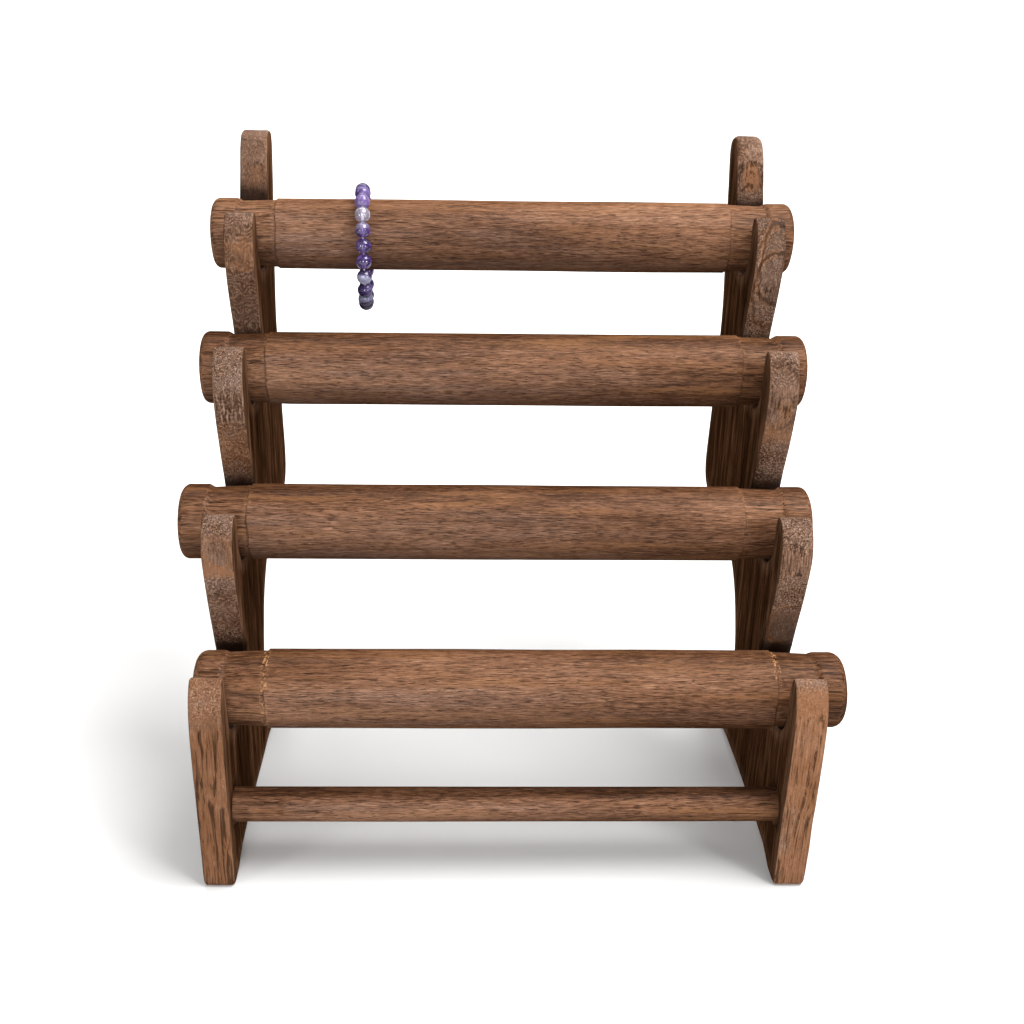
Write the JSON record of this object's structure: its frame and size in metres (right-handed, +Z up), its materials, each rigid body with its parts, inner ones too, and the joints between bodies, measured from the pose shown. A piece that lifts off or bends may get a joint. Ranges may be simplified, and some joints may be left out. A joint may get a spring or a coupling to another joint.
{
  "type": "crystal bracelet on a wooden bar display stand",
  "caption": "Stretch bracelet of round amethyst beads on an elastic cord, hung over the top bar of a stepped wooden bracelet stand with wave-shaped side boards.",
  "frame": {"origin": "on the table, under the centre of the whole", "axes": "+X along the bars to the right as seen from the front, +Y to the back of the stand, +Z up"},
  "size_m": [0.317, 0.2484, 0.3218],
  "materials": {
    "board_wood": "oiled dark brown wood, sawn and rubbed",
    "bar_wood": "oiled brown wood, turned, with open grain along the bar",
    "rail_wood": "oiled brown dowel",
    "amethyst_deep": "polished deep purple quartz",
    "amethyst_mid": "polished light purple quartz",
    "amethyst_pale": "polished near clear quartz with faint veils",
    "elastic": "clear white stretch cord"
  },
  "bodies": {
    "root": {"side_board_left": "board_wood", "side_board_right": "board_wood", "rail": "rail_wood", "bar_bottom": "bar_wood", "bar_second": "bar_wood", "bar_third": "bar_wood", "bar_top": "bar_wood", "elastic_cord": "elastic", "bead_01": "amethyst_mid", "bead_02": "amethyst_mid", "bead_03": "amethyst_pale", "bead_04": "amethyst_mid", "bead_05": "amethyst_deep", "bead_06": "amethyst_deep", "bead_07": "amethyst_pale", "bead_08": "amethyst_deep", "bead_09": "amethyst_pale", "bead_10": "amethyst_deep", "bead_11": "amethyst_deep", "bead_12": "amethyst_mid", "bead_13": "amethyst_deep", "bead_14": "amethyst_pale", "bead_15": "amethyst_deep", "bead_16": "amethyst_deep", "bead_17": "amethyst_mid", "bead_18": "amethyst_deep", "bead_19": "amethyst_deep", "bead_20": "amethyst_deep", "bead_21": "amethyst_deep"}
  },
  "joints": []
}
